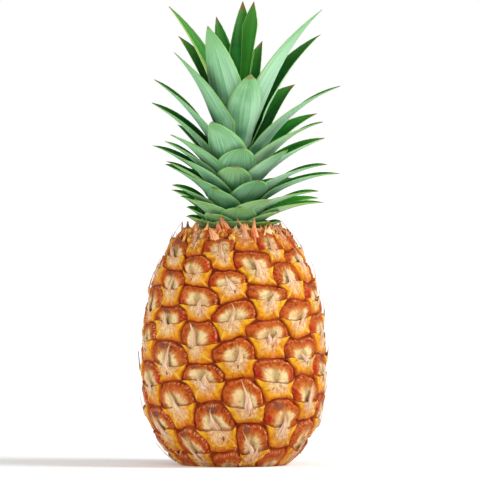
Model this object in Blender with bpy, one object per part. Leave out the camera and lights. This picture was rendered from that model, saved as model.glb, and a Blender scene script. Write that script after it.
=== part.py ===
"""A whole ripe pineapple with its leafy crown, standing on its flat cut base.

Metres, +Z up. The origin is the centre of the flat base and the front faces -Y. The fruit is one
solid, tiled with hexagonal fruitlets. The cut stalk sits in its base. The crown is a short stem with
one blade for each leaf, and it leans a little to the right of the fruit's axis.
"""

import math

import bmesh
import bpy
from mathutils import Matrix, Vector

for old in list(bpy.data.objects):
    bpy.data.objects.remove(old)

# Everything below is in millimetres and degrees, and is turned into metres as each mesh is finished.
MM = 0.001

# The fruit: a superellipse of revolution, cut flat at both ends.
FRUIT_RADIUS = 54.6
FRUIT_HEIGHT = 144.0
WIDEST_AT = 58.0
UPPER_REACH = 92.0
UPPER_POWER = 2.3
LOWER_REACH = 64.0
LOWER_POWER = 2.4
POLE_MARGIN = 0.3

# The fruitlets: each one turns 48 degrees on from the one below it, so 15 near-upright columns show.
TURN = 48.0
COLUMNS = 15
CORNER_OFFSET = 9.5
FRONT = -90.0
FRONT_FRUITLET_HEIGHT = 107.3
RISE_LIMIT = 327.2
RISE_RATE = 0.006
FIRST_FRUITLET = -78
LAST_FRUITLET = 46
LOW_VEER = 0.26
LOW_VEER_BELOW = 70.0
HIGH_VEER = 0.5
HIGH_VEER_ABOVE = 103.0

# The relief of a fruitlet: an eye above and a fleshy bract below, parted by narrow grooves.
GROOVE_HALF_WIDTH = 1.1
GROOVE_DEPTH = 1.9
BRACT_SAG = 1.3
BRACT_STAND = 1.2

# The cut stalk, flush with the base.
STALK_RADIUS = 9.5
STALK_HEIGHT = 5.0
TOUCH_GAP = 0.3

# The crown's stem and the family of nested leaf profiles. Rank 0 is the outermost leaf and rank 1
# the innermost, and profiles of different rank never cross.
CROWN_LEAN = 3.0
LOWEST_LEAF = 2.5
STEM_LEAF_SPAN = 57.5
STEM_LEAF_RADIUS = 13.5
STEM_TAPER = 10.0
STEM_CLEARANCE = 0.8
STEM_FOOT = 1.0
STEM_TIP = 63.0
RISE_OUTER = 8.0
RISE_GAIN = 80.0
RISE_POWER = 0.6
TIP_GAIN = 80.0
TIP_POWER = 1.5
BEND_REACH = 42.0
BEND_REACH_GAIN = 50.0
BEND_POWER = 1.2
PROFILE_STEP = 1.0

# The blade of a leaf.
LEAF_THICKNESS = 0.5
LEAF_BASE = 0.8
LEAF_SHOULDER = 0.3
LEAF_TAPER = 1.8
LEAF_TAPER_ROUND = 0.95
LEAF_POINT = 0.25
LEAF_WRAP = 0.7
LEAF_CHANNEL = 0.04
LEAF_SWAY = 9.0
LEAF_SWAY_TURN = 2.4
LEAF_STATIONS = 8
LEAF_STRIPS = 2

# One row for each leaf, outermost first: azimuth of the tip, rank, length, width.
LEAVES = (
    # The collar, which lies out over the fruit's shoulder.
    (-118, 0.000, 16, 17),
    (130, 0.005, 21, 17),
    (172, 0.020, 16, 15),
    (95, 0.020, 25, 18),
    (-35, 0.020, 20, 15),
    (-85, 0.035, 16, 19),
    (-12, 0.050, 42, 14),
    (-132, 0.050, 24, 18),
    (140, 0.050, 28, 18),
    (22, 0.065, 42, 15),
    (-160, 0.065, 23, 16),
    (-58, 0.065, 29, 18),
    (168, 0.085, 28, 15),
    (80, 0.085, 31, 18),
    (-20, 0.100, 42, 16),
    (-172, 0.115, 28, 16),
    (110, 0.125, 33, 18),
    (-118, 0.145, 18, 18),
    # The lower crown, which spreads outwards.
    (45, 0.155, 40, 18),
    (5, 0.175, 54, 15),
    (-65, 0.190, 23, 20),
    (-135, 0.170, 26, 18),
    (150, 0.185, 39, 17),
    (175, 0.205, 36, 15),
    (-168, 0.220, 37, 15),
    (-25, 0.215, 53, 17),
    (-145, 0.245, 35, 17),
    (95, 0.245, 37, 19),
    (180, 0.270, 47, 15),
    (-92, 0.285, 22, 19),
    (-160, 0.305, 44, 17),
    (-45, 0.310, 40, 20),
    (20, 0.330, 55, 17),
    (-150, 0.335, 46, 18),
    (125, 0.335, 43, 18),
    # The middle of the crown, long blades that flatten towards their tips.
    (-85, 0.365, 29, 21),
    (70, 0.375, 49, 19),
    (-30, 0.390, 61, 18),
    (150, 0.395, 45, 16),
    (-112, 0.415, 47, 22),
    (-172, 0.440, 60, 18),
    (30, 0.430, 60, 17),
    (-22, 0.505, 77, 18),
    (-163, 0.520, 68, 19),
    (48, 0.550, 64, 19),
    (105, 0.585, 60, 19),
    (-150, 0.635, 72, 22),
    # The top of the crown, which stands nearly upright.
    (-80, 0.670, 53, 23),
    (145, 0.680, 79, 17),
    (25, 0.690, 85, 17),
    (-118, 0.715, 82, 23),
    (-32, 0.735, 97, 21),
    (72, 0.730, 71, 14),
    (170, 0.755, 90, 16),
    (122, 0.810, 77, 15),
    (95, 0.935, 76, 16),
    (55, 1.005, 71, 17),
)


def finish(name, bm, colour, roughness, parent=None):
    """Turns a bmesh in millimetres into a named object in metres with its own material."""
    bmesh.ops.scale(bm, vec=(MM, MM, MM), verts=bm.verts)
    mesh = bpy.data.meshes.new(name)
    bm.to_mesh(mesh)
    bm.free()
    mesh.shade_smooth()
    mesh.set_sharp_from_angle(angle=math.radians(40))
    material = bpy.data.materials.new(name)
    material.use_nodes = True
    shader = material.node_tree.nodes["Principled BSDF"]
    shader.inputs["Base Color"].default_value = (*colour, 1.0)
    shader.inputs["Roughness"].default_value = roughness
    shader.inputs["Metallic"].default_value = 0.0
    mesh.materials.append(material)
    item = bpy.data.objects.new(name, mesh)
    bpy.context.scene.collection.objects.link(item)
    item.parent = parent
    return item


def fruit_radius(z):
    """Radius of the fruit's envelope at a height."""
    if z > WIDEST_AT:
        part, power = (z - WIDEST_AT) / UPPER_REACH, UPPER_POWER
    else:
        part, power = (WIDEST_AT - z) / LOWER_REACH, LOWER_POWER
    return FRUIT_RADIUS * (1.0 - part**power) ** (1.0 / power)


def veer(z):
    """How far the columns turn off the upright at a height, in degrees."""
    low = LOW_VEER * max(LOW_VEER_BELOW - z, 0.0)
    high = HIGH_VEER * max(z - HIGH_VEER_ABOVE, 0.0)
    return low - high


def on_fruit(turn, step):
    """Point of the groove floor at an azimuth and at a number of fruitlets along the spiral."""
    z = RISE_LIMIT - (RISE_LIMIT - FRONT_FRUITLET_HEIGHT) * math.exp(-RISE_RATE * step)
    z = min(z, WIDEST_AT + UPPER_REACH - POLE_MARGIN)
    z = max(z, WIDEST_AT - LOWER_REACH + POLE_MARGIN)
    angle = math.radians(FRONT + turn + veer(z))
    radius = max(fruit_radius(z) - GROOVE_DEPTH, POLE_MARGIN)
    return Vector((radius * math.cos(angle), radius * math.sin(angle), z))


def make_fruit():
    """The fruit body: hexagonal cells, each split into an eye and a bract that stand off the grooves."""
    bm = bmesh.new()
    corners = {}

    def corner(side, step):
        # Each corner is shared by three fruitlets, and lies on either side of the middle of a column.
        if (side, step) not in corners:
            lean = side * CORNER_OFFSET / TURN
            spot = on_fruit(TURN * step + CORNER_OFFSET * side, step + COLUMNS / 2.0 + lean)
            corners[side, step] = bm.verts.new(spot)
        return corners[side, step]

    eyes = []
    bracts = []
    for step in range(FIRST_FRUITLET, LAST_FRUITLET + 1):
        left = corner(1, step - 8)
        right = corner(-1, step - 7)
        lower_left = corner(-1, step - COLUMNS)
        lower_right = corner(1, step - COLUMNS)
        upper_left = corner(-1, step)
        upper_right = corner(1, step)
        around = (left, right, lower_left, lower_right, upper_left, upper_right)
        heights = [vert.co.z for vert in around]
        if max(heights) - min(heights) < 1.0:
            continue
        middle = bm.verts.new(on_fruit(TURN * step, step - 0.5) - Vector((0, 0, BRACT_SAG)))
        eyes.append(bm.faces.new((left, middle, right, upper_right, upper_left)))
        bracts.append(bm.faces.new((left, lower_left, lower_right, right, middle)))
    bm.normal_update()
    bmesh.ops.inset_individual(
        bm, faces=eyes + bracts, thickness=GROOVE_HALF_WIDTH, depth=GROOVE_DEPTH, use_even_offset=True
    )
    for bract in bracts:
        upper_edge = sorted(bract.verts, key=lambda vert: vert.co.z)[-3:]
        for vert in upper_edge:
            outwards = Vector((vert.co.x, vert.co.y, 0.0)).normalized()
            vert.co += outwards * BRACT_STAND
    for height, side in ((0.0, -1.0), (FRUIT_HEIGHT, 1.0)):
        everything = bm.verts[:] + bm.edges[:] + bm.faces[:]
        cut = bmesh.ops.bisect_plane(
            bm, geom=everything, dist=1e-4, plane_co=(0, 0, height), plane_no=(0, 0, side), clear_outer=True
        )
        rim = [item for item in cut["geom_cut"] if isinstance(item, bmesh.types.BMEdge)]
        bmesh.ops.contextual_create(bm, geom=rim)
    bmesh.ops.recalc_face_normals(bm, faces=bm.faces)
    body = finish("fruit_body", bm, (0.80, 0.40, 0.06), 0.45)

    cutter_mesh = bmesh.new()
    depth = STALK_HEIGHT + TOUCH_GAP
    bmesh.ops.create_cone(
        cutter_mesh,
        cap_ends=True,
        segments=32,
        radius1=STALK_RADIUS + TOUCH_GAP,
        radius2=STALK_RADIUS + TOUCH_GAP,
        depth=2.0 * depth,
    )
    cutter = finish("stalk_socket_cutter", cutter_mesh, (0.5, 0.5, 0.5), 0.5)
    cutter.hide_render = True
    cutter.display_type = "WIRE"
    socket = body.modifiers.new("stalk socket", "BOOLEAN")
    socket.operation = "DIFFERENCE"
    socket.object = cutter
    return body


def make_stalk():
    """The cut stalk, a short plug that ends flush with the base."""
    bm = bmesh.new()
    bmesh.ops.create_cone(
        bm,
        cap_ends=True,
        segments=32,
        radius1=STALK_RADIUS,
        radius2=STALK_RADIUS,
        depth=STALK_HEIGHT,
        matrix=Matrix.Translation((0, 0, STALK_HEIGHT / 2.0)),
    )
    return finish("stalk_stub", bm, (0.62, 0.48, 0.25), 0.8)


def make_crown_stem(crown):
    """The crown's stem, a tapered core hidden by the leaf bases."""
    bm = bmesh.new()
    foot_radius = STEM_LEAF_RADIUS - STEM_CLEARANCE
    slope = STEM_TAPER / STEM_LEAF_SPAN
    bmesh.ops.create_cone(
        bm,
        cap_ends=True,
        segments=24,
        radius1=foot_radius,
        radius2=foot_radius - slope * (STEM_TIP - LOWEST_LEAF),
        depth=STEM_TIP - STEM_FOOT,
        matrix=Matrix.Translation((0, 0, (STEM_TIP + STEM_FOOT) / 2.0)),
    )
    return finish("crown_stem", bm, (0.66, 0.68, 0.38), 0.7, crown)


def leaf_midline(rank, distance):
    """Radius and height of the profile of a rank at a distance along it."""
    radius = STEM_LEAF_RADIUS - STEM_TAPER * rank
    height = LOWEST_LEAF + STEM_LEAF_SPAN * rank
    start = RISE_OUTER + RISE_GAIN * rank**RISE_POWER
    end = TIP_GAIN * rank**TIP_POWER
    reach = BEND_REACH + BEND_REACH_GAIN * rank
    pieces = max(math.ceil(distance / PROFILE_STEP), 1)
    stride = distance / pieces
    for count in range(pieces):
        along = (count + 0.5) * stride
        slope = math.radians(start - (start - end) * (along / reach) ** BEND_POWER)
        radius += math.cos(slope) * stride
        height += math.sin(slope) * stride
    return radius, height


def leaf_spread(part):
    """Width of a blade at a part of its length, as a part of its full width."""
    widening = LEAF_BASE + (1.0 - LEAF_BASE) * math.sin(min(part / LEAF_SHOULDER, 1.0) * math.pi / 2.0)
    return widening * (1.0 - part**LEAF_TAPER) ** LEAF_TAPER_ROUND


def make_leaf(number, azimuth, rank, length, width, crown):
    """One blade: it follows its rank's profile, bends round the crown's axis and rises at its margins."""
    sway = LEAF_SWAY * math.sin(LEAF_SWAY_TURN * number)
    bm = bmesh.new()
    bmesh.ops.create_grid(bm, x_segments=LEAF_STRIPS, y_segments=LEAF_STATIONS, size=0.5)
    for vert in bm.verts:
        across = 2.0 * vert.co.x
        part = vert.co.y + 0.5
        spread = leaf_spread(part)
        lift = 1.0 + LEAF_CHANNEL * (across * spread) ** 2
        radius, height = leaf_midline(rank * lift, part * length)
        half_width = max(0.5 * width * spread, LEAF_POINT)
        half_width = min(half_width, LEAF_WRAP * radius)
        turn = math.radians(azimuth - sway * (1.0 - part**2)) + across * half_width / radius
        vert.co = (radius * math.cos(turn), radius * math.sin(turn), height)
    leaf = finish(f"leaf_{number + 1:02d}", bm, (0.16, 0.38, 0.20), 0.5, crown)
    blade = leaf.modifiers.new("blade", "SOLIDIFY")
    blade.thickness = LEAF_THICKNESS * MM
    blade.offset = 0.0
    return leaf


make_fruit()
make_stalk()
crown_base = bpy.data.objects.new("crown_base", None)
bpy.context.scene.collection.objects.link(crown_base)
crown_base.location = (0.0, 0.0, FRUIT_HEIGHT * MM)
crown_base.rotation_euler = (0.0, math.radians(CROWN_LEAN), 0.0)
make_crown_stem(crown_base)
for index, (azimuth, rank, length, width) in enumerate(LEAVES):
    make_leaf(index, azimuth, rank, length, width, crown_base)
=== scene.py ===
"""The looks of a whole ripe pineapple with its crown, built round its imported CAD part."""

import functools
import math
import random

import bmesh
import bpy
from mathutils import Matrix, Vector, noise


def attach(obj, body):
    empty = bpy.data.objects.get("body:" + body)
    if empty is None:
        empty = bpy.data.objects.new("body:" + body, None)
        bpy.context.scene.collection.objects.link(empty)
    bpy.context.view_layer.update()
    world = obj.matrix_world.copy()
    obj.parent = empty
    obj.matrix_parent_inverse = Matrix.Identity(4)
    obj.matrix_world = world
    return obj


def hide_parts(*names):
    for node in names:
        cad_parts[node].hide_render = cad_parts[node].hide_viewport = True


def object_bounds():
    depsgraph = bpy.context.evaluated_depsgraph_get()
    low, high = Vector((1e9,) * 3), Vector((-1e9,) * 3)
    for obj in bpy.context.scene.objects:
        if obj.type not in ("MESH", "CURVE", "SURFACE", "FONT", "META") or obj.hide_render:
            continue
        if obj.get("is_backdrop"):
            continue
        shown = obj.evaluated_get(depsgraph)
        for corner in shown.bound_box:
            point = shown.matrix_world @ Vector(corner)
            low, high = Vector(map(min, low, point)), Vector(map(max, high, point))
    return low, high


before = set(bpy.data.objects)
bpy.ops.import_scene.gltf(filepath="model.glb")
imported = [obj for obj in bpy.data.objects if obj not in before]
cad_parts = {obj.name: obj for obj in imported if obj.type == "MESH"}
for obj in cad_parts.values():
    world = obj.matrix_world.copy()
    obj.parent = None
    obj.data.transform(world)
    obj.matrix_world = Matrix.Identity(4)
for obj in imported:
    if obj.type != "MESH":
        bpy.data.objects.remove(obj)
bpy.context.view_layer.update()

# ---------------------------------------------------------------------------------------------
# The rind. The fruit's skin is a tiling of hexagonal fruitlets in spiral rows, each one a domed
# waxy eye above and a fleshy bract below whose upper edge stands off the eye's foot. It grew as one
# piece: each cell is drawn flat, divided finely, laid on the fruit and raised from the grooves.

MM = 0.001
FRUIT_RADIUS = 54.6
FRUIT_HEIGHT = 144.0
WIDEST_AT = 58.0
UPPER_REACH = 92.0
UPPER_POWER = 2.3
LOWER_REACH = 64.0
LOWER_POWER = 2.4
GROOVE_DEPTH = 1.9
TURN = 48.0
COLUMNS = 15
CORNER_OFFSET = 9.5
SIDE_OFFSET = 14.5
CORNER_PART = CORNER_OFFSET / SIDE_OFFSET
FRONT = -90.0
FRONT_FRUITLET_HEIGHT = 107.3
RISE_LIMIT = 327.2
RISE_RATE = 0.006
FRUITLETS = range(-78, 47)
LOW_VEER = 0.26
LOW_VEER_BELOW = 70.0
HIGH_VEER = 0.5
HIGH_VEER_ABOVE = 103.0
CELL_STRIPS = 26
CELL_ROWS = 14
CELL_HALF_WIDTH = 13.6
CELL_HALF_HEIGHT = 10.4
EYE_WIDTH = 0.91
EYE_HEIGHT = 0.99
EYE_POWER = 3.1
EYE_BULGE = 1.8
RIM_HEIGHT = 140.6
# How far each part of a fruitlet stands up, in millimetres.
EYE_RISE = 1.75
EYE_DOME = 0.6
EYE_DENT = 0.45
CORNER_RISE = 1.2
BRACT_RISE = 1.5
BRACT_LIFT = 1.6
BRACT_RIDGE = 0.35
BRACT_FURROW = 0.25
# Points of two cells that are closer than this, in metres, are one. It is far less than a strip.
SEAM_MERGE = 5e-6
# Fixes the noise that growth is drawn from, which is otherwise seeded by the clock.
GROWTH_SEED = 7


def step_between(value, low, high):
    """0 below low, 1 above high and a smooth step between them."""
    part = min(max((value - low) / (high - low), 0.0), 1.0)
    return part * part * (3.0 - 2.0 * part)


def fruit_radius(z):
    """Radius of the fruit's envelope at a height, in millimetres."""
    if z > WIDEST_AT:
        part, power = (z - WIDEST_AT) / UPPER_REACH, UPPER_POWER
    else:
        part, power = (WIDEST_AT - z) / LOWER_REACH, LOWER_POWER
    return FRUIT_RADIUS * (1.0 - min(part, 0.999) ** power) ** (1.0 / power)


def on_fruit(turn, step, height, shift=(0.0, 0.0)):
    """Point that stands off the groove floor by a height, at a turn and a step along the spiral."""
    z = RISE_LIMIT - (RISE_LIMIT - FRONT_FRUITLET_HEIGHT) * math.exp(-RISE_RATE * step)
    z = min(max(z, WIDEST_AT - LOWER_REACH), WIDEST_AT + UPPER_REACH)
    veer = LOW_VEER * max(LOW_VEER_BELOW - z, 0.0) - HIGH_VEER * max(z - HIGH_VEER_ABOVE, 0.0)
    angle = math.radians(FRONT + turn + veer)
    z += shift[1]
    radius = max(fruit_radius(z) - GROOVE_DEPTH, 0.3)
    angle += shift[0] / max(radius, 10.0)
    slope = (fruit_radius(z + 0.5) - fruit_radius(z - 0.5)) / 1.0
    normal = Vector((1.0, -slope)).normalized()
    radius += normal.x * height
    return Vector((radius * math.cos(angle), radius * math.sin(angle), z + normal.y * height))


noise.seed_set(GROWTH_SEED)


def drift(spot):
    """How far growth has pushed the skin aside and along at a place, in millimetres."""
    push = 3.2 * noise.noise_vector(spot / 17.0) + 1.3 * noise.noise_vector(spot / 6.0)
    push += 0.4 * noise.noise_vector(spot / 1.9)
    return push.x, push.y


def relief(u, v, eye_swell, bract_swell):
    """Height of the rind off the groove floor at a place in a cell, in millimetres."""
    if v > 0.001:
        spread = ((abs(u) / EYE_WIDTH) ** EYE_POWER + (v / EYE_HEIGHT) ** EYE_POWER) ** (1.0 / EYE_POWER)
        side = (1.0 - (1.0 - CORNER_PART) * v - abs(u)) * CELL_HALF_WIDTH
        wall = (1.0 - step_between(spread, 0.86, 1.0)) * step_between(side, 0.0, 0.5)
        dome = EYE_RISE + EYE_DOME * (1.0 - min(spread, 1.0) ** 2)
        dent = EYE_DENT * (1.0 - step_between(math.hypot(u / 0.5, (v - 0.4) / 0.35), 0.2, 1.0))
        margin = min(side, (1.0 - v) * CELL_HALF_HEIGHT)
        corner = CORNER_RISE * step_between(spread, 1.03, 1.12) * step_between(margin, 0.0, 0.9)
        return wall * (dome - dent) * (0.4 + 0.6 * step_between(v, 0.0, 0.3)) * eye_swell + corner
    side = (1.0 + (1.0 - CORNER_PART) * v - abs(u)) * CELL_HALF_WIDTH
    margin = min(side, (1.0 + v) * CELL_HALF_HEIGHT)
    wall = step_between(margin, 0.0, 1.2)
    rise = BRACT_RISE + BRACT_LIFT * (1.0 + v) ** 1.4
    crease = abs(abs(u) - 0.62 * (0.15 - v))
    ridge = BRACT_RIDGE * (1.0 - step_between(crease, 0.0, 0.12))
    ridge -= BRACT_FURROW * step_between(0.3 - abs(u), 0.0, 0.25)
    return wall * (rise * (1.0 - 0.3 * u * u) + ridge) * bract_swell


def as_mesh(bm, name):
    """The mesh of a finished bmesh, which is freed."""
    mesh = bpy.data.meshes.new(name)
    bm.to_mesh(mesh)
    bm.free()
    return mesh


def link(name, mesh, materials, smooth=True):
    """A new object at the origin that shows a mesh in these materials and rides on the fruit."""
    for material in materials:
        mesh.materials.append(material)
    if smooth:
        mesh.shade_smooth()
    piece = bpy.data.objects.new(name, mesh)
    bpy.context.scene.collection.objects.link(piece)
    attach(piece, "root")
    return piece


def paint(red, green, blue):
    """A colour as it looks, from 0 to 255 for each part, as the linear colour that shaders want."""
    return (*((part / 255.0) ** 2.2 for part in (red, green, blue)), 1.0)


class Wire:
    """An output socket in a material. Arithmetic on it adds Math nodes, and make() adds any node."""

    def __init__(self, tree, socket=None):
        self.tree = tree
        self.socket = socket

    def make(self, kind, settings, inputs, output=0):
        node = self.tree.nodes.new(kind)
        for name, value in settings.items():
            setattr(node, name, value)
        for key, value in inputs.items():
            if isinstance(value, Wire):
                self.tree.links.new(value.socket, node.inputs[key])
            else:
                node.inputs[key].default_value = value
        return Wire(self.tree, node.outputs[output])

    def maths(self, operation, *values):
        return self.make("ShaderNodeMath", {"operation": operation}, dict(enumerate(values)))

    def __add__(self, other):
        return self.maths("ADD", self, other)

    def __sub__(self, other):
        return self.maths("SUBTRACT", self, other)

    def __mul__(self, other):
        return self.maths("MULTIPLY", self, other)

    def __truediv__(self, other):
        return self.maths("DIVIDE", self, other)

    def __pow__(self, other):
        return self.maths("POWER", self, other)

    def __radd__(self, other):
        return self.maths("ADD", other, self)

    def __rsub__(self, other):
        return self.maths("SUBTRACT", other, self)

    def __rmul__(self, other):
        return self.maths("MULTIPLY", other, self)

    def __abs__(self):
        return self.maths("ABSOLUTE", self)

    def __lt__(self, other):
        return self.maths("LESS_THAN", self, other)

    def __gt__(self, other):
        return self.maths("GREATER_THAN", self, other)

    def least(self, other):
        return self.maths("MINIMUM", self, other)

    def most(self, other):
        return self.maths("MAXIMUM", self, other)

    def ramp(self, low, high):
        """A smooth step from 0 at low to 1 at high."""
        settings = {"interpolation_type": "SMOOTHSTEP"}
        return self.make("ShaderNodeMapRange", settings, {0: self, 1: low, 2: high})

    def blend(self, first, second):
        """The first colour where this is 0 and the second where it is 1."""
        return self.make("ShaderNodeMix", {"data_type": "RGBA"}, {0: self, 6: first, 7: second}, 2)

    def tint(self, colour):
        """This colour multiplied by another."""
        settings = {"data_type": "RGBA", "blend_type": "MULTIPLY"}
        return self.make("ShaderNodeMix", settings, {0: 1.0, 6: self, 7: colour}, 2)

    def axis(self, number):
        """The x, y or z of this vector, for 0, 1 or 2."""
        return self.make("ShaderNodeSeparateXYZ", {}, {0: self}, number)

    def uv(self, name):
        return self.make("ShaderNodeUVMap", {"uv_map": name}, {})

    def attribute(self, name):
        return self.make("ShaderNodeAttribute", {"attribute_name": name}, {}, 2)

    def place(self):
        """The position on the piece itself, in metres."""
        return self.make("ShaderNodeTexCoord", {}, {}, 3)

    def bump(self, strength, distance):
        """A normal that stands this height off the surface."""
        inputs = {"Strength": strength, "Distance": distance, "Height": self}
        return self.make("ShaderNodeBump", {}, inputs)

    def vector(self, x, y, z):
        return self.make("ShaderNodeCombineXYZ", {}, {0: x, 1: y, 2: z})

    def noise(self, place, scale, detail=2.0):
        return self.make("ShaderNodeTexNoise", {}, {"Vector": place, "Scale": scale, "Detail": detail})

    def chance(self, seed):
        """An even random value for each whole number in a seed."""
        return self.make("ShaderNodeTexWhiteNoise", {"noise_dimensions": "1D"}, {"W": seed})


def new_material(name, roughness):
    """A material, its shader node and a wire to build on."""
    material = bpy.data.materials.new(name)
    material.use_nodes = True
    shader = material.node_tree.nodes["Principled BSDF"]
    shader.inputs["Roughness"].default_value = roughness
    shader.inputs["Specular IOR Level"].default_value = 0.12
    return material, shader, Wire(material.node_tree)


def feed(shader, **wires):
    """Joins wires to a shader's inputs: base_color feeds Base Color."""
    for name, wire in wires.items():
        wire.tree.links.new(wire.socket, shader.inputs[name.replace("_", " ").title()])


flat = bmesh.new()
cell_uv = flat.loops.layers.uv.new("cell")
fruitlet_layer = flat.faces.layers.float.new("fruitlet")
lean = 0.5 / (TURN / 2.0)
near, far = CORNER_OFFSET, SIDE_OFFSET
for fruitlet in FRUITLETS:
    middle = TURN * fruitlet % 360.0

    def corner(turn, step):
        return flat.verts.new((middle + turn, fruitlet + step + lean * turn, 0.0))

    left, right = corner(-far, 0.0), corner(far, 0.0)
    upper_left, upper_right = corner(-near, COLUMNS / 2), corner(near, COLUMNS / 2)
    lower_left, lower_right = corner(-near, -COLUMNS / 2), corner(near, -COLUMNS / 2)
    for around, places in (
        ((left, right, upper_right, upper_left), ((-1, 0), (1, 0), (CORNER_PART, 1), (-CORNER_PART, 1))),
        ((left, lower_left, lower_right, right), ((-1, 0), (-CORNER_PART, -1), (CORNER_PART, -1), (1, 0))),
    ):
        half = flat.faces.new(around)
        half[fruitlet_layer] = fruitlet - FRUITLETS[0] + 1.0
        for loop, place in zip(half.loops, places):
            loop[cell_uv].uv = place
bmesh.ops.remove_doubles(flat, verts=flat.verts, dist=0.01)
level = [edge for edge in flat.edges if abs(edge.verts[0].co.x - edge.verts[1].co.x) > near]
bmesh.ops.subdivide_edges(flat, edges=level, cuts=CELL_STRIPS - 1, use_grid_fill=True)
upright = [edge for edge in flat.edges if abs(edge.verts[0].co.y - edge.verts[1].co.y) > 3.0]
bmesh.ops.subdivide_edges(flat, edges=upright, cuts=CELL_ROWS - 1, use_grid_fill=True)

placed = {}
for face in flat.faces:
    number = round(face[fruitlet_layer])
    draw = random.Random(number)
    sag, tilt = draw.uniform(0.03, 0.27), draw.uniform(-0.22, 0.22)
    eye_swell, bract_swell = draw.uniform(0.9, 1.08), draw.uniform(0.9, 1.05)
    for loop in face.loops:
        vert = loop.vert
        if vert.index in placed:
            continue
        u, v = loop[cell_uv].uv
        reach = u / (1.0 - (1.0 - CORNER_PART) * abs(v))
        slack = (1.0 - abs(v)) ** 1.4 * (1.0 - abs(reach) ** 2.2)
        bulge = EYE_BULGE * math.sin(math.pi * v) * reach * abs(reach)
        turn, step = vert.co.x + bulge, vert.co.y + (tilt * u - sag) * slack * COLUMNS / 2.0
        base = on_fruit(turn, step, 0.0)
        height = relief(u, v, eye_swell, bract_swell)
        height += min(height, 1.0) * (0.3 * noise.noise(base / 1.4) + 0.5 * noise.noise(base / 3.1))
        placed[vert.index] = on_fruit(turn, step, height, drift(base))
for vert in flat.verts:
    vert.co = placed[vert.index] * MM
bmesh.ops.remove_doubles(flat, verts=flat.verts, dist=SEAM_MERGE)
for height, side in ((0.0, -1.0), (RIM_HEIGHT, 1.0)):
    everything = flat.verts[:] + flat.edges[:] + flat.faces[:]
    cut = bmesh.ops.bisect_plane(
        flat,
        geom=everything,
        dist=1e-6,
        plane_co=(0, 0, height * MM),
        plane_no=(0, 0, side),
        clear_outer=True,
    )
    rim = [item for item in cut["geom_cut"] if isinstance(item, bmesh.types.BMEdge)]
    cap = bmesh.ops.edgeloop_fill(flat, edges=rim)["faces"]
    for face in cap:
        face.material_index = 1
bmesh.ops.recalc_face_normals(flat, faces=flat.faces)
rind_mesh = as_mesh(flat, "rind")

skin, skin_shader, wire = new_material("pineapple skin", 0.4)
place = wire.place()
cell = wire.uv("cell")
u, v = cell.axis(0), cell.axis(1)
seed = wire.attribute("fruitlet")
across = abs(u)
up = v.most(0.0)
down = (0.0 - v).most(0.0)
coarse = wire.noise(place, 170.0)
fine = wire.noise(place, 900.0, 3.0)
middling = wire.noise(place, 420.0, 3.0)

spread = ((across / EYE_WIDTH) ** EYE_POWER + (up / EYE_HEIGHT) ** EYE_POWER) ** (1.0 / EYE_POWER)
bearing = wire.maths("ARCTAN2", up * CELL_HALF_HEIGHT, u * CELL_HALF_WIDTH)
streak = wire.noise(wire.vector(bearing * 9.0, spread * 1.4, seed * 3.7), 1.0, 3.0)
ring = spread + (streak - 0.5) * 0.34 + (coarse - 0.5) * 0.16
eye = ring.ramp(0.46, 0.64).blend(paint(250, 230, 202), paint(212, 130, 64))
eye = ring.ramp(0.62, 0.78).blend(eye, paint(190, 84, 26))
eye = (middling.ramp(0.46, 0.64) * ring.ramp(0.5, 0.8) * 0.7).blend(eye, paint(138, 42, 10))
scuff = wire.noise(place, 620.0, 4.0)
eye = (scuff.ramp(0.54, 0.7) * 0.4).blend(eye, paint(236, 164, 108))
eye = ((1.0 - scuff.ramp(0.36, 0.48)) * ring.ramp(0.45, 0.7) * 0.5).blend(eye, paint(120, 40, 14))
eye = ((1.0 - streak.ramp(0.3, 0.42)) * ring.ramp(0.2, 0.5) * 0.55).blend(eye, paint(110, 40, 12))
which_side = wire.chance(seed * 2.0 + (u > 0.0))
red = across.ramp(0.5, 0.72) * (1.0 - up.ramp(0.3, 0.6)) * (which_side > 0.55) * middling.ramp(0.3, 0.55)
eye = (red * 0.85).blend(eye, paint(186, 28, 8))
petal_shift = (wire.chance(seed + 300.0) - 0.5) * 0.5
petal = ((u - petal_shift) ** 2.0 * 9.0 + (up - 0.78) ** 2.0 * 22.0) + (fine - 0.5)
blotched = (1.0 - petal.ramp(0.25, 0.8)) * (wire.chance(seed + 90.0) > 0.35)
eye = (blotched * 0.75).blend(eye, paint(122, 78, 76))
olive = (1.0 - (across * 5.0 + abs(up - 0.3) * 2.2).ramp(0.5, 1.5)) * 0.6
eye = olive.blend(eye, paint(150, 118, 50))
beads = wire.noise(wire.vector(bearing * 16.0, spread * 6.0, seed * 1.9), 1.0, 1.0).ramp(0.46, 0.62)
glint = spread.ramp(0.84, 0.88) * (1.0 - spread.ramp(0.91, 0.95)) * (u + 0.25).ramp(-0.9, 0.6) * beads
eye = (glint * 0.7).blend(eye, paint(244, 190, 152))

side_gap = (1.0 - down * (1.0 - CORNER_PART) - across) * CELL_HALF_WIDTH
gap = side_gap.least((1.0 - down) * CELL_HALF_HEIGHT)
green = wire.chance(seed + 40.0).ramp(0.45, 1.0) * coarse.ramp(0.35, 0.6)
bract = (green * 0.8).blend(paint(240, 176, 18), paint(208, 182, 44))
bract = (middling.ramp(0.44, 0.64) * 0.6).blend(bract, paint(198, 112, 12))
bract = (scuff.ramp(0.54, 0.68) * 0.45).blend(bract, paint(250, 216, 110))
bract = (coarse.ramp(0.54, 0.7) * 0.5).blend(bract, paint(190, 124, 22))
edge = 1.0 - (gap + (coarse - 0.5) * 4.4).ramp(0.4, 3.6)
bract = (edge * 0.85).blend(bract, paint(206, 98, 14))
crease = abs(across - (down + 0.12) * 0.62) + (fine - 0.5) * 0.05
# Painted highlight: brighter yellow along the upper edges of the bract's side wings.
horn_highlight = across.ramp(0.5, 0.8) * (1.0 - down.ramp(0.15, 0.45)) * gap.ramp(0.8, 2.2)
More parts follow.
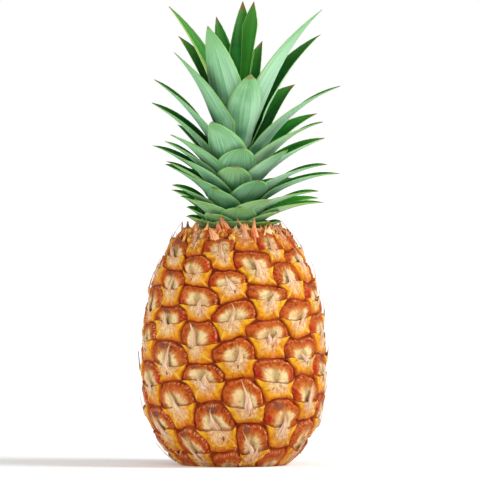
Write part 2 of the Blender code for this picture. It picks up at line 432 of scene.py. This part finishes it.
bract = (horn_highlight * 0.6).blend(bract, paint(255, 214, 60))
creased = wire.chance(seed * 2.0 + (u > 0.0) + 1200.0) > 0.5
crease_line = (1.0 - crease.ramp(0.02, 0.09)) * gap.ramp(0.6, 1.6) * creased
bract = (crease_line * 0.6).blend(bract, paint(246, 218, 120))
crack = abs(across - (down - 0.1) * 0.5 + (coarse - 0.5) * 0.2)
bract = ((1.0 - crack.ramp(0.0, 0.03)) * (which_side < 0.45) * 0.75).blend(bract, paint(116, 46, 10))
fan = wire.maths("ARCTAN2", down * 2.0 + 0.35, u * 2.4)
fibre = wire.noise(wire.vector(fan * 7.0, (down + across) * 2.6, seed * 2.3), 1.0, 4.0)
tuft = (across * 1.95) ** 2.0 + ((down - 0.14) * 1.65) ** 2.0 + (middling - 0.5) * 1.5 + (fibre - 0.5) * 1.9
tuft_colour = fibre.ramp(0.36, 0.62).blend(paint(222, 166, 140), paint(250, 230, 208))
tuft_colour = (fine.ramp(0.56, 0.66) * 0.5).blend(tuft_colour, paint(150, 96, 84))
bract = ((1.0 - tuft.ramp(0.3, 1.3)) * 0.92).blend(bract, tuft_colour)
knob_shift = (wire.chance(seed + 500.0) - 0.5) * 0.24
knob = ((u - knob_shift) * 9.0) ** 2.0 + ((down - 0.84) * 8.0) ** 2.0
knobbed = (wire.chance(seed + 1500.0) > 0.55) * 0.8
bract = ((1.0 - (knob + (fine - 0.5) * 2.0).ramp(0.4, 1.3)) * knobbed).blend(bract, paint(236, 146, 92))
slit = ((u - knob_shift) * 26.0) ** 2.0 + ((down - 0.42) * 7.0) ** 2.0 + (fine - 0.5)
slit_dark = (1.0 - slit.ramp(0.5, 1.1)) * (wire.chance(seed + 700.0) > 0.45)
bract = (slit_dark * 0.85).blend(bract, paint(104, 32, 16))

is_eye = v > 0.0
colour = is_eye.blend(bract, eye)
height_up = place.axis(2)
dry_ends = height_up.ramp(0.118, 0.138) * 1.3 + (1.0 - height_up.ramp(0.004, 0.026)) * 0.6
dryness = dry_ends * middling.ramp(0.3, 0.65)
colour = (dryness * 0.6).blend(colour, paint(164, 78, 30))
riper = (wire.chance(seed + 900.0) > 0.6) * coarse.ramp(0.4, 0.7)
colour = (riper * 0.35).blend(colour, paint(214, 106, 24))
corner_flesh = spread.ramp(1.05, 1.12)
eye = corner_flesh.blend(eye, paint(196, 116, 20))
# Dark reddish brown in the grooves round each eye and bract: partly the rind's own colour, partly painted
# shade where the bract above overhangs the eye, with a thin painted shadow along the eye's foot under the
# bract's upper edge.
eye_groove_and_shade = (spread + (fine - 0.5) * 0.05).ramp(0.93, 0.985) * (1.0 - corner_flesh * 0.85)
bract_groove_and_shade = 1.0 - (gap + (fine - 0.5) * 0.4).ramp(0.18, 0.7)
foot_shadow = 1.0 - (up + across * 0.02).ramp(0.03, 0.1)
groove = is_eye * eye_groove_and_shade.most(foot_shadow * 0.8) + (1.0 - is_eye) * bract_groove_and_shade
colour = (scuff.ramp(0.62, 0.7) * 0.5).blend(colour, paint(96, 44, 18))
colour = groove.blend(colour, coarse.ramp(0.3, 0.7).blend(paint(118, 36, 2), paint(158, 68, 8)))
colour = colour.tint(paint(232, 221, 182))
grain = (fine * 0.5 + middling * 0.8 + (is_eye * streak + (1.0 - is_eye) * fibre) * 0.9)
feed(skin_shader, base_color=colour, roughness=0.3 + middling * 0.3, normal=grain.bump(0.75, 0.0009))

cut_face, cut_shader, wire = new_material("dry cut base", 0.85)
place = wire.place()
patches = wire.noise(place, 260.0, 4.0)
feed(cut_shader, base_color=patches.ramp(0.35, 0.65).blend(paint(120, 72, 34), paint(182, 128, 66)))

rind = link("rind", rind_mesh, [skin, cut_face])
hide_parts("fruit_body")

# ---------------------------------------------------------------------------------------------
# The papery tips. Each bract ends in a narrow dry point that stands up from its middle and lies over
# the eye above it. They are thin skin, whitish and curled, and some have split into two.

TIP_ROWS = 9
TIP_THICKNESS = 0.18
TIP_STAND = 1.5
TIPS_ABOVE = 7.5
TIPS_BELOW = 140.0
# Nothing thin may reach below this height, so that it stays off the floor.
LOWEST_SKIN = 0.4

tips = bmesh.new()
tip_uv = tips.loops.layers.uv.new("tip")
tip_layer = tips.faces.layers.float.new("tip_number")


def strip_of_skin(bm, uv_layer, seed_layer, number, rows):
    """A ribbon through rows of three points each, with its own coordinates and number."""
    verts = [[bm.verts.new(spot) for spot in row] for row in rows]
    count = len(rows) - 1
    for below in range(count):
        for side in (0, 1):
            face = bm.faces.new(
                (
                    verts[below][side],
                    verts[below][side + 1],
                    verts[below + 1][side + 1],
                    verts[below + 1][side],
                )
            )
            face[seed_layer] = number
            places = ((side, below), (side + 1, below), (side + 1, below + 1), (side, below + 1))
            for loop, place in zip(face.loops, places):
                loop[uv_layer].uv = (place[0] - 1.0, place[1] / count)


for fruitlet in FRUITLETS:
    draw = random.Random(fruitlet * 7 + 5000)
    foot = on_fruit(TURN * fruitlet, fruitlet, 0.0)
    if not TIPS_ABOVE < foot.z < TIPS_BELOW:
        continue
    wildness = step_between(foot.z, 112.0, 134.0) + 0.6 * (1.0 - step_between(foot.z, 8.0, 22.0))
    blades = draw.choice((0, 1, 1, 1, 1, 1, 1, 2, 2, 2))
    for blade in range(blades):
        tilt = draw.uniform(-0.55, 0.55) + (0.5 if blade else 0.0) * draw.choice((-1, 1))
        bow = draw.uniform(-0.6, 0.6)
        length = draw.uniform(8.0, 14.5) * (0.7 if blade else 1.0)
        base_width = draw.uniform(1.8, 3.7) * (0.6 if blade else 1.0)
        lift = draw.uniform(0.2, 2.2) + 2.4 * wildness * draw.random()
        start = -4.6 + draw.uniform(-0.8, 0.8)
        shift = draw.uniform(-0.8, 0.8)
        rows = []
        for count in range(TIP_ROWS + 1):
            part = count / TIP_ROWS
            rise = start + length * part
            aside = shift + tilt * length * 0.55 * part + bow * length * 0.5 * part * part
            width = base_width * (0.5 + 0.5 * step_between(part, 0.0, 0.2)) * (1.0 - part) ** 1.25 + 0.12
            stand = TIP_STAND + 1.3 * step_between(part, 0.0, 0.24) + 0.4 * math.sin(part * math.pi)
            stand += lift * part**2.2
            row = []
            for side in (-1, 0, 1):
                crinkle = 0.3 * noise.noise(Vector((side * 0.9, rise * 0.45, fruitlet * 3.3)))
                across_mm = aside + side * width * (1.0 + crinkle)
                ridge = (0.45 if side == 0 else 0.0) * (1.0 - part) + crinkle
                turn = TURN * fruitlet + across_mm / CELL_HALF_WIDTH * SIDE_OFFSET
                step = fruitlet + rise / CELL_HALF_HEIGHT * COLUMNS / 2.0
                spot = on_fruit(turn, step, stand + ridge, drift(on_fruit(turn, step, 0.0)))
                spot.z = max(spot.z, LOWEST_SKIN)
                row.append(spot * MM)
            rows.append(row)
        strip_of_skin(tips, tip_uv, tip_layer, fruitlet + 100.0 + 0.37 * blade, rows)
tips_mesh = as_mesh(tips, "bract_tips")



def strip_wires(wire, across_scale, along_scale):
    """Position along a ribbon, its number, and the fibres that run along it."""
    spot = wire.uv("tip")
    seed = wire.attribute("tip_number")
    across, along = spot.axis(0), spot.axis(1)
    grain = wire.vector(across * across_scale, along * along_scale, seed * 5.1)
    return along, seed, wire.noise(grain, 1.0, 3.0)


def thicken(piece):
    """Gives a piece of thin dry skin its thickness."""
    depth = piece.modifiers.new("thin skin", "SOLIDIFY")
    depth.thickness = TIP_THICKNESS * MM
    depth.offset = 0.0


papery, papery_shader, wire = new_material("dry bract tip", 0.6)
along, seed, fibre = strip_wires(wire, 5.0, 2.2)
place = wire.place()
colour = fibre.ramp(0.36, 0.6).blend(paint(186, 130, 96), paint(226, 198, 168))
browner = fibre.ramp(0.4, 0.6).blend(paint(192, 140, 104), paint(226, 192, 150))
colour = (wire.chance(seed) > 0.7).blend(colour, browner)
colour = (along.ramp(0.72, 1.0) * 0.5).blend(colour, paint(196, 120, 74))
high = place.axis(2)
colour = ((high + (fibre - 0.5) * 0.02).ramp(0.118, 0.14) * 0.65).blend(colour, paint(188, 112, 70))
feed(papery_shader, base_color=colour, normal=fibre.bump(0.5, 0.0004))

bract_tips = link("bract_tips", tips_mesh, [papery])
thicken(bract_tips)

# ---------------------------------------------------------------------------------------------
# The cut stalk. A short plug of woody fibre that was sliced off level with the base.

STALK_RADIUS = 9.5
STALK_HEIGHT = 5.0

stub = bmesh.new()
bmesh.ops.create_cone(
    stub,
    cap_ends=True,
    segments=48,
    radius1=STALK_RADIUS * MM,
    radius2=STALK_RADIUS * MM,
    depth=STALK_HEIGHT * MM,
)
bmesh.ops.translate(stub, vec=(0, 0, STALK_HEIGHT / 2.0 * MM), verts=stub.verts)
stub_mesh = as_mesh(stub, "stalk_end")
woody, woody_shader, wire = new_material("cut stalk", 0.85)
place = wire.place()
strands = wire.make("ShaderNodeTexVoronoi", {}, {"Vector": place, "Scale": 900.0})
feed(woody_shader, base_color=strands.ramp(0.1, 0.6).blend(paint(150, 104, 54), paint(206, 172, 110)))
stalk_end = link("stalk_end", stub_mesh, [woody], smooth=False)
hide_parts("stalk_stub")

# ---------------------------------------------------------------------------------------------
# The crown's stem. A tapered fibrous core that the leaf bases wrap round and hide.

CROWN_LEAN = 3.0
LOWEST_LEAF = 2.5
STEM_LEAF_SPAN = 57.5
STEM_LEAF_RADIUS = 13.5
STEM_TAPER = 10.0
STEM_TIP = 63.0

crown_place = (
    Matrix.Translation((0, 0, FRUIT_HEIGHT * MM))
    @ Matrix.Rotation(math.radians(CROWN_LEAN), 4, "Y")
    @ Matrix.Scale(MM, 4)
)
core = bmesh.new()
bmesh.ops.create_cone(
    core,
    cap_ends=True,
    segments=32,
    radius1=STEM_LEAF_RADIUS - 0.8,
    radius2=STEM_LEAF_RADIUS - 0.8 - STEM_TAPER,
    depth=STEM_TIP,
    matrix=Matrix.Translation((0, 0, STEM_TIP / 2.0)),
)
bmesh.ops.transform(core, matrix=crown_place, verts=core.verts)
core_mesh = as_mesh(core, "crown_core")
pith, pith_shader, wire = new_material("crown pith", 0.8)
place = wire.place()
patches = wire.noise(place, 300.0)
feed(pith_shader, base_color=patches.ramp(0.3, 0.7).blend(paint(58, 92, 44), paint(124, 142, 80)))
crown_core = link("crown_core", core_mesh, [pith])
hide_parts("crown_stem")

# ---------------------------------------------------------------------------------------------
# The leaves. Stiff, fleshy, gutter-shaped blades that wrap the stem and bend outwards, dark green
# and glossy above and pale with a waxy bloom below, with fine teeth along their margins. Each was
# grown singly, so each is a blade of its own.

RISE_OUTER = 8.0
RISE_GAIN = 80.0
RISE_POWER = 0.6
TIP_GAIN = 80.0
TIP_POWER = 1.5
BEND_REACH = 42.0
BEND_REACH_GAIN = 50.0
BEND_POWER = 1.2
PROFILE_STEP = 1.0
LEAF_BASE = 0.8
LEAF_SHOULDER = 0.3
LEAF_TAPER = 1.8
LEAF_TAPER_ROUND = 0.95
LEAF_WRAP = 0.85
LEAF_SWAY = 9.0
LEAF_SWAY_TURN = 2.4
LEAF_STRIPS = 10
LEAF_STATIONS = 34
LEAF_ROLL = 1.15
LEAF_THICKNESS = 1.3
TOOTH = 0.12
HALF_WIDTH_PART = 0.7
FRONT_NARROWING = 0.06
LEAF_POINT = 0.16
# How far one half of a long front leaf folds up.
FOLD = 0.35
# The lowest leaves dip towards the fruit by this much, and those above this rank don't.
SINK = 7.0
SINK_BELOW = 0.3
# Young leaves that are more lime than the rest, and by how much.
PALE_LEAVES = {54: 0.8, 57: 0.7, 25: 0.4, 10: 0.7, 7: 0.6}
# One row for each leaf: azimuth, rank from the stem's foot at 0 to its tip at 1, length and width.
LEAVES = (
    # The collar, which lies out over the fruit's shoulder.
    (-118, 0.000, 16, 17),
    (130, 0.005, 21, 17),
    (172, 0.020, 16, 15),
    (95, 0.020, 25, 18),
    (-35, 0.020, 20, 15),
    (-85, 0.035, 16, 19),
    (-12, 0.050, 42, 14),
    (-132, 0.050, 24, 18),
    (140, 0.050, 28, 18),
    (22, 0.065, 42, 15),
    (-160, 0.065, 23, 16),
    (-58, 0.065, 29, 18),
    (168, 0.085, 28, 15),
    (80, 0.085, 31, 18),
    (-20, 0.100, 42, 16),
    (-172, 0.115, 28, 16),
    (110, 0.125, 33, 18),
    (-118, 0.145, 18, 18),
    # The lower crown, which spreads outwards.
    (45, 0.155, 40, 18),
    (5, 0.175, 54, 15),
    (-65, 0.190, 23, 20),
    (-135, 0.170, 26, 18),
    (150, 0.185, 39, 17),
    (175, 0.205, 36, 15),
    (-168, 0.220, 37, 15),
    (-25, 0.215, 53, 17),
    (-145, 0.245, 35, 17),
    (95, 0.245, 37, 19),
    (180, 0.270, 47, 15),
    (-92, 0.285, 22, 19),
    (-160, 0.305, 44, 17),
    (-45, 0.310, 40, 20),
    (20, 0.330, 55, 17),
    (-150, 0.335, 46, 18),
    (125, 0.335, 43, 18),
    # The middle of the crown, long blades that flatten towards their tips.
    (-85, 0.365, 29, 21),
    (70, 0.375, 49, 19),
    (-30, 0.390, 61, 18),
    (150, 0.395, 45, 16),
    (-112, 0.415, 47, 22),
    (-172, 0.440, 60, 18),
    (30, 0.430, 60, 17),
    (-22, 0.505, 77, 18),
    (-163, 0.520, 68, 19),
    (48, 0.550, 64, 23),
    (105, 0.585, 60, 19),
    (-150, 0.635, 72, 22),
    # The top of the crown, which stands nearly upright.
    (-80, 0.670, 53, 23),
    (145, 0.680, 79, 17),
    (25, 0.690, 85, 17),
    (-118, 0.715, 82, 23),
    (-32, 0.735, 97, 21),
    (72, 0.730, 71, 14),
    (170, 0.755, 90, 16),
    (122, 0.810, 77, 15),
    (95, 0.935, 76, 16),
    (55, 1.005, 71, 17),
)


def leaf_midline(rank, length, distance):
    """Radius, height and slope of the profile of a leaf at a distance along it."""
    radius = STEM_LEAF_RADIUS - STEM_TAPER * rank
    height = LOWEST_LEAF + STEM_LEAF_SPAN * rank
    start = RISE_OUTER + RISE_GAIN * max(rank, 0.0) ** RISE_POWER
    end = TIP_GAIN * max(rank, 0.0) ** TIP_POWER
    reach = BEND_REACH + BEND_REACH_GAIN * rank
    pieces = max(math.ceil(distance / PROFILE_STEP), 1)
    stride = distance / pieces
    for count in range(pieces):
        along = (count + 0.5) * stride
        slope = math.radians(start - (start - end) * (along / reach) ** BEND_POWER)
        radius += math.cos(slope) * stride
        height += math.sin(slope) * stride
    sink = SINK * max(1.0 - rank / SINK_BELOW, 0.0)
    left = 1.0 - distance / length
    slope = math.atan2(math.sin(slope) + 1.5 * sink * math.sqrt(left) / length, math.cos(slope))
    return radius, height - sink * left**1.5, slope


def leaf_spread(part, taper):
    """Width of a blade at a part of its length, as a part of its full width."""
    widening = LEAF_BASE + (1.0 - LEAF_BASE) * math.sin(min(part / LEAF_SHOULDER, 1.0) * math.pi / 2.0)
    return widening * (1.0 - part**taper) ** LEAF_TAPER_ROUND


def grow_leaf(number, azimuth, midline, length, width, fullness, lime):
    """The blade of one leaf along a midline, as a mesh with its own coordinates and number."""
    draw = random.Random(number + 71)
    sway = LEAF_SWAY * math.sin(LEAF_SWAY_TURN * number)
    facing = max(-math.sin(math.radians(azimuth)), 0.0)
    roll_limit = LEAF_ROLL * draw.uniform(0.85, 1.1) * (1.0 - 0.4 * facing)
    twist = math.radians(16.0 * math.cos(math.radians(azimuth)) + draw.uniform(-6, 6))
    taper = LEAF_TAPER + fullness + 2.0 * facing**4 * step_between(60.0 - length, 0.0, 20.0)
    fold = FOLD * facing**4 * step_between(length, 45.0, 55.0)
    bm = bmesh.new()
    uv = bm.loops.layers.uv.new("blade")
    number_layer = bm.faces.layers.float.new("leaf_number")
    lime_layer = bm.faces.layers.float.new("lime")
    lit_side_layer = bm.faces.layers.float.new("lit_side")
    flesh = bm.verts.layers.deform.verify()
    bmesh.ops.create_grid(bm, x_segments=LEAF_STRIPS, y_segments=LEAF_STATIONS, size=0.5)
    for face in bm.faces:
        face[number_layer] = number + 1.0
        face[lime_layer] = lime
        # Leaves that face the light from the right, and the folded-up half of a long front leaf, are marked
        # for a painted highlight on their undersides.
        lit_side = step_between(math.cos(math.radians(azimuth)), 0.3, 0.9)
        face[lit_side_layer] = max(lit_side, fold / FOLD if face.calc_center_median().x > 0.1 else 0.0)
        for loop in face.loops:
            loop[uv].uv = (2.0 * loop.vert.co.x, loop.vert.co.y + 0.5)
    for vert in bm.verts:
        across = 2.0 * vert.co.x
        part = vert.co.y + 0.5
        station = round(part * LEAF_STATIONS)
        radius, height, slope = midline(part * length)
        half_width = (HALF_WIDTH_PART - FRONT_NARROWING * facing) * width * leaf_spread(part, taper)
        half_width = max(half_width, LEAF_POINT)
        if abs(across) > 0.99 and station % 2 and part < 0.97:
            half_width += TOOTH
        half_width = min(half_width, LEAF_WRAP * radius)
        wanted = roll_limit * step_between(part, -0.1, 0.35) * (1.0 - 0.35 * part)
        roll = max(wanted - half_width / radius, 0.02)
        side = half_width * math.sin(roll * across) / roll
        lift = half_width * (1.0 - math.cos(roll * across)) / roll
        lift += 0.25 * noise.noise(Vector((across * 0.8, part * 4.0, number * 2.1)))
        lift += fold * max(across - 0.2, 0.0) * half_width * step_between(part, 0.0, 0.4)
        lean = twist * part
        side, lift = (
            side * math.cos(lean) - lift * math.sin(lean),
            side * math.sin(lean) + lift * math.cos(lean),
        )
        turn = math.radians(azimuth - sway * (1.0 - part**2)) + side / radius
        radius -= lift * math.sin(slope)
        height += lift * math.cos(slope)
        vert[flesh][0] = max((1.0 - across**2) * (1.0 - part), 0.22)
        vert.co = crown_place @ Vector((radius * math.cos(turn), radius * math.sin(turn), height))
    return as_mesh(bm, f"blade_{number + 1:02d}")


def leaf_wires(wire):
    """Position across and along a blade, its number, and the fine lines that run along it."""
    spot = wire.uv("blade")
    across, along = spot.axis(0), spot.axis(1)
    seed = wire.attribute("leaf_number")
    lines = wire.noise(wire.vector(across * 11.0, along * 1.3, seed * 3.1), 1.0, 3.0)
    patches = wire.noise(wire.place(), 90.0)
    return across, along, seed, lines, patches


under, under_shader, wire = new_material("leaf underside", 0.5)
across, along, seed, lines, patches = leaf_wires(wire)
colour = lines.ramp(0.25, 0.75).blend(paint(122, 176, 132), paint(170, 206, 170))
# Darker teal towards the foot of the blade: partly the leaf's own colour, partly painted shade where the
# leaves overlap.
colour = ((1.0 - (along + (patches - 0.5) * 0.4).ramp(0.0, 0.5)) * 0.85).blend(colour, paint(34, 108, 66))
colour = (along.ramp(0.55, 1.0) * 0.6).blend(colour, paint(112, 166, 96))
colour = (patches.ramp(0.5, 0.75) * 0.35).blend(colour, paint(196, 222, 192))
lit_side = wire.attribute("lit_side")
# Painted highlight: a whitish wash along the middle of the undersides of the marked leaves.
painted_highlight = lit_side * (along + (patches - 0.5) * 0.5).ramp(0.05, 0.35) * (1.0 - along.ramp(0.5, 0.95))
colour = (painted_highlight * 0.5).blend(colour, paint(216, 236, 212))
lime = wire.attribute("lime")
colour = ((1.0 - lines.ramp(0.36, 0.5)) * 0.15).blend(colour, paint(50, 124, 76))
young = lime + wire.chance(seed + 20.0).ramp(0.6, 1.0) * 0.4
young_part = (young * (along + (patches - 0.5) * 0.6).ramp(0.0, 0.8)).least(0.85)
colour = young_part.blend(colour, paint(172, 190, 92))
margin = abs(across).ramp(0.86, 0.98)
colour = (margin * 0.7).blend(colour, paint(150, 184, 92))
tip = (along + (lines - 0.5) * 0.06 + wire.chance(seed + 60.0) * 0.05).ramp(0.96, 1.0)
colour = (tip * 0.7).blend(colour, paint(150, 112, 66))
colour = colour.tint(paint(228, 250, 242))
feed(under_shader, base_color=colour, roughness=0.42 + patches * 0.2, normal=lines.bump(0.3, 0.0003))

upper, upper_shader, wire = new_material("leaf upper face", 0.36)
across, along, seed, lines, patches = leaf_wires(wire)
colour = lines.ramp(0.3, 0.7).blend(paint(0, 58, 16), paint(10, 98, 30))
colour = (patches.ramp(0.45, 0.7) * 0.4).blend(colour, paint(40, 130, 44))
lime = wire.attribute("lime")
colour = (lime * 0.7).blend(colour, paint(62, 148, 34))
colour = (along.ramp(0.6, 1.0) * 0.4).blend(colour, paint(88, 140, 60))
margin = abs(across).ramp(0.88, 0.98)
colour = (margin * 0.5).blend(colour, paint(120, 160, 80))
tip = (along + (lines - 0.5) * 0.06 + wire.chance(seed + 60.0) * 0.05).ramp(0.95, 1.0)
colour = (tip * 0.8).blend(colour, paint(120, 86, 50))
feed(upper_shader, base_color=colour, roughness=0.3 + patches * 0.2, normal=lines.bump(0.3, 0.0003))


def show_leaf(name, mesh):
    """A leaf object whose two faces have their own colours and whose flesh thins to its margins."""
    leaf = link(name, mesh, [under, upper])
    leaf.vertex_groups.new(name="flesh")
    depth = leaf.modifiers.new("flesh", "SOLIDIFY")
    depth.thickness = LEAF_THICKNESS * MM
    depth.offset = 0.0
    depth.vertex_group = "flesh"
    depth.material_offset = 1
    return leaf


for number, (azimuth, rank, length, width) in enumerate(LEAVES):
    midline = functools.partial(leaf_midline, rank, length)
    fullness = 0.5 + 0.4 * step_between(rank, 0.4, 0.8)
    lime = max(0.1 + 0.4 * (1.0 - step_between(rank, 0.0, 0.2)), PALE_LEAVES.get(number + 1, 0.0))
    mesh = grow_leaf(number, azimuth, midline, length, width, fullness, lime)
    leaf = show_leaf(f"blade_{number + 1:02d}", mesh)
    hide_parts(f"leaf_{number + 1:02d}")

# ---------------------------------------------------------------------------------------------
# The crown's lowest scales. Short green and yellowish leaves at the foot of the stem that lie over
# the fruit's shoulder, too small to have bodies of their own in the part.

# One row for each scale: azimuth of the tip, radius and height of the foot, slopes at foot and tip,
# length and width.
SCALES = (
    (-101, 14.0, -6.5, 36, 24, 14, 19),
    (-72, 14.0, -6.0, 38, 22, 15, 18),
    (-48, 14.0, -5.5, 34, 16, 17, 15),
    (-130, 14.0, -6.0, 34, 18, 15, 16),
    (-158, 18.0, -4.5, 42, 22, 12, 15),
    (-24, 18.0, -4.5, 42, 22, 12, 15),
    (2, 18.0, -4.0, 40, 20, 12, 15),
    (30, 18.0, -4.5, 40, 20, 11, 15),
    (56, 14.0, -6.0, 36, 16, 15, 15),
    (84, 14.0, -5.5, 38, 18, 15, 16),
    (112, 14.0, -6.0, 34, 14, 16, 15),
    (148, 18.0, -4.5, 40, 20, 11, 15),
    (176, 18.0, -4.0, 40, 20, 12, 15),
)


def scale_midline(foot_radius, foot_height, foot_slope, tip_slope, length, distance):
    """Radius, height and slope of a scale at a distance along it."""
    pieces = max(math.ceil(distance / PROFILE_STEP), 1)
    stride = distance / pieces
    radius, height = foot_radius, foot_height
    for count in range(pieces):
        slope = math.radians(foot_slope + (tip_slope - foot_slope) * (count + 0.5) * stride / length)
        radius += math.cos(slope) * stride
        height += math.sin(slope) * stride
    return radius, height, slope


for number, (azimuth, radius, height, foot_slope, tip_slope, length, width) in enumerate(SCALES):
    midline = functools.partial(scale_midline, radius, height, foot_slope, tip_slope, length)
    mesh = grow_leaf(number + 60, azimuth, midline, length, width, 0.6, 0.35 + 0.3 * (number % 3))
    show_leaf(f"crown_scale_{number + 1:02d}", mesh)

# ---------------------------------------------------------------------------------------------
# The dry collar. Withered bracts and loose fibres stand round the top of the fruit, where the rind
# ends under the crown, and others curl out round its foot. They are paper-thin, like the tips.

COLLAR_BRACTS = 52
COLLAR_FIBRES = 14
RIM_BRACTS = 40
FOOT_BRACTS = 44
# One row for each of the pieces at the front: its turn, the height and length of its stand, its half
# width and its lean to the side.
FRONT_PIECES = (
    (-107, 136.5, 8.5, 3.1, -0.1),
    (-88, 133.0, 8.0, 4.4, -0.1),
    (-68, 132.5, 14.0, 2.9, -0.05),
    (-61, 133.0, 13.0, 0.6, 0.5),
    (-63, 133.5, 11.0, 0.5, 0.25),
    (-17, 132.5, 8.5, 0.45, -0.4),
    (-140, 134.0, 10.0, 3.6, 0.2),
    (-128, 135.0, 8.0, 3.4, -0.3),
    (-45, 135.0, 8.0, 3.0, 0.3),
)

collar = bmesh.new()
collar_uv = collar.loops.layers.uv.new("tip")
collar_layer = collar.faces.layers.float.new("tip_number")
draw = random.Random(404)
pieces = list(FRONT_PIECES)
for count in range(COLLAR_BRACTS + COLLAR_FIBRES):
    turn = (count * 137.5 + draw.uniform(-12, 12)) % 360.0
    foot_z, length, aside = draw.uniform(130.0, 139.0), draw.uniform(5.0, 11.0), draw.uniform(-0.6, 0.6)
    half_width = draw.uniform(2.2, 4.6) if count < COLLAR_BRACTS else draw.uniform(0.3, 0.55)
    if 240.0 < turn < 300.0 and draw.random() < 0.5:
        continue
    pieces.append((turn, foot_z, length, half_width, aside))
for number, ranges in (
    (RIM_BRACTS, ((136.5, 139.2), (3.5, 6.5), (2.2, 4.2), (-0.3, 0.3))),
    (FOOT_BRACTS, ((3.0, 13.0), (3.5, 7.0), (0.5, 2.4), (-0.7, 0.7))),
):
    for count in range(number):
        turn = (count + draw.uniform(-0.4, 0.4)) * 360.0 / number
        pieces.append((turn, *(draw.uniform(low, high) for low, high in ranges)))
for count, (turn, foot_z, length, half_width, aside) in enumerate(pieces):
    angle = math.radians(turn)
    outwards = Vector((math.cos(angle), math.sin(angle), 0.0))
    along_rim = Vector((-math.sin(angle), math.cos(angle), 0.0))
    run = fruit_radius(foot_z + 1.0) - fruit_radius(foot_z - 1.0)
    upwards = (outwards * run + Vector((0, 0, 2.0))).normalized()
    away = (outwards * 2.0 - Vector((0, 0, run))).normalized()
    if foot_z < WIDEST_AT:
        upwards = -upwards
    foot = outwards * fruit_radius(foot_z) - away * 1.3 + Vector((0, 0, foot_z))
    rise = (upwards + away * draw.uniform(0.1, 0.4) + along_rim * aside).normalized()
    bend = draw.uniform(-0.25, 0.35)
    rows = []
    for station in range(TIP_ROWS + 1):
        part = station / TIP_ROWS
        spot = foot + rise * (length * part) + away * (bend * length * part * part)
        spot.z = max(spot.z, 1.0)
        width = half_width * (0.8 + 0.35 * math.sin(part * math.pi)) * (1.0 - part) ** 0.8 + 0.1
        row = []
        for side in (-1, 0, 1):
            crinkle = noise.noise(Vector((side * 2.3, part * 5.0, count * 1.7)))
            ridge = (0.2 * half_width if side == 0 else 0.0) + 0.5 * crinkle * min(half_width, 1.2)
            corner_spot = spot + along_rim * (side * width * (1.0 + 0.7 * crinkle)) + away * ridge
            corner_spot.z = max(corner_spot.z, 0.5)
            row.append(corner_spot * MM)
        rows.append(row)
    strip_of_skin(collar, collar_uv, collar_layer, count + 400.0, rows)
collar_mesh = as_mesh(collar, "dry_collar")

withered, withered_shader, wire = new_material("withered bract", 0.65)
along, seed, fibre = strip_wires(wire, 4.0, 1.6)
kind = wire.chance(seed)
colour = kind.ramp(0.2, 0.8).blend(paint(190, 84, 40), paint(228, 168, 66))
colour = ((kind > 0.8) * 1.0).blend(colour, paint(214, 176, 140))
colour = (fibre.ramp(0.42, 0.64) * 0.6).blend(colour, paint(240, 204, 156))
colour = ((1.0 - fibre.ramp(0.3, 0.42)) * 0.8).blend(colour, paint(120, 52, 26))
colour = (along.ramp(0.6, 1.0) * 0.5).blend(colour, paint(150, 84, 44))
feed(withered_shader, base_color=colour, normal=fibre.bump(0.5, 0.0005))
dry_collar = link("dry_collar", collar_mesh, [withered])
thicken(dry_collar)

# ---------------------------------------------------------------------------------------------
# Floor, light and camera. A white paper floor and room, three soft lamps, and a long lens that is
# nearly level with the fruit.

GLOW_LOSS = 0.82
ROOM_LIGHT = 0.42

floor_mesh = bmesh.new()
bmesh.ops.create_grid(floor_mesh, x_segments=1, y_segments=1, size=30.0)
floor_data = as_mesh(floor_mesh, "floor")
floor = bpy.data.objects.new("floor", floor_data)
bpy.context.scene.collection.objects.link(floor)
paper, paper_shader, wire = new_material("white floor", 0.9)
paper_shader.inputs["Base Color"].default_value = (0.92, 0.92, 0.92, 1.0)
paper_shader.inputs["Emission Strength"].default_value = 0.75
# The floor glows less near the fruit, so that its shadow there still shows.
away = wire.make("ShaderNodeVectorMath", {"operation": "LENGTH"}, {0: wire.place()}, 1)
feed(paper_shader, emission_color=1.0 - GLOW_LOSS * (1.0 + away * away) ** -1.0)
paper_shader.inputs["Specular IOR Level"].default_value = 0.0
floor_data.materials.append(paper)
floor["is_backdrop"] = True

scene = bpy.context.scene
scene.view_settings.view_transform = "Standard"
scene.view_settings.look = "None"
world = bpy.data.worlds.new("studio")
world.use_nodes = True
scene.world = world
room = world.node_tree.nodes["Background"]
room.inputs["Color"].default_value = (1.0, 1.0, 1.0, 1.0)
wire = Wire(world.node_tree)
seen = wire.make("ShaderNodeLightPath", {}, {}, 0)
feed(room, strength=seen + (1.0 - seen) * ROOM_LIGHT)

for name, spot, size, power in (
    ("key", (1.3, -0.45, 1.1), 0.7, 26.0),
    ("fill", (-1.5, -0.5, 0.5), 1.2, 13.0),
    ("front", (0.2, -1.8, 0.8), 1.0, 6.5),
):
    lamp = bpy.data.lights.new(name, "AREA")
    lamp.size = size
    lamp.energy = power
    item = bpy.data.objects.new(name, lamp)
    item.location = spot
    item.rotation_euler = (Vector((0, 0, 0.12)) - Vector(spot)).to_track_quat("-Z", "Y").to_euler()
    scene.collection.objects.link(item)

CAMERA_DISTANCE = 5.0
CAMERA_ELEVATION = 1.0
FRAME_WIDTH = 0.2845
AIM = Vector((0.0037, 0.0, 0.1334))
lens_data = bpy.data.cameras.new("camera")
camera = bpy.data.objects.new("camera", lens_data)
scene.collection.objects.link(camera)
lens_data.clip_end = 60.0
lens_data.sensor_width = 36.0
lens_data.lens = 36.0 * CAMERA_DISTANCE / FRAME_WIDTH
rise = math.radians(CAMERA_ELEVATION)
camera.location = AIM + CAMERA_DISTANCE * Vector((0.0, -math.cos(rise), math.sin(rise)))
camera.rotation_euler = (AIM - camera.location).to_track_quat("-Z", "Y").to_euler()
scene.camera = camera

low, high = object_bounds()
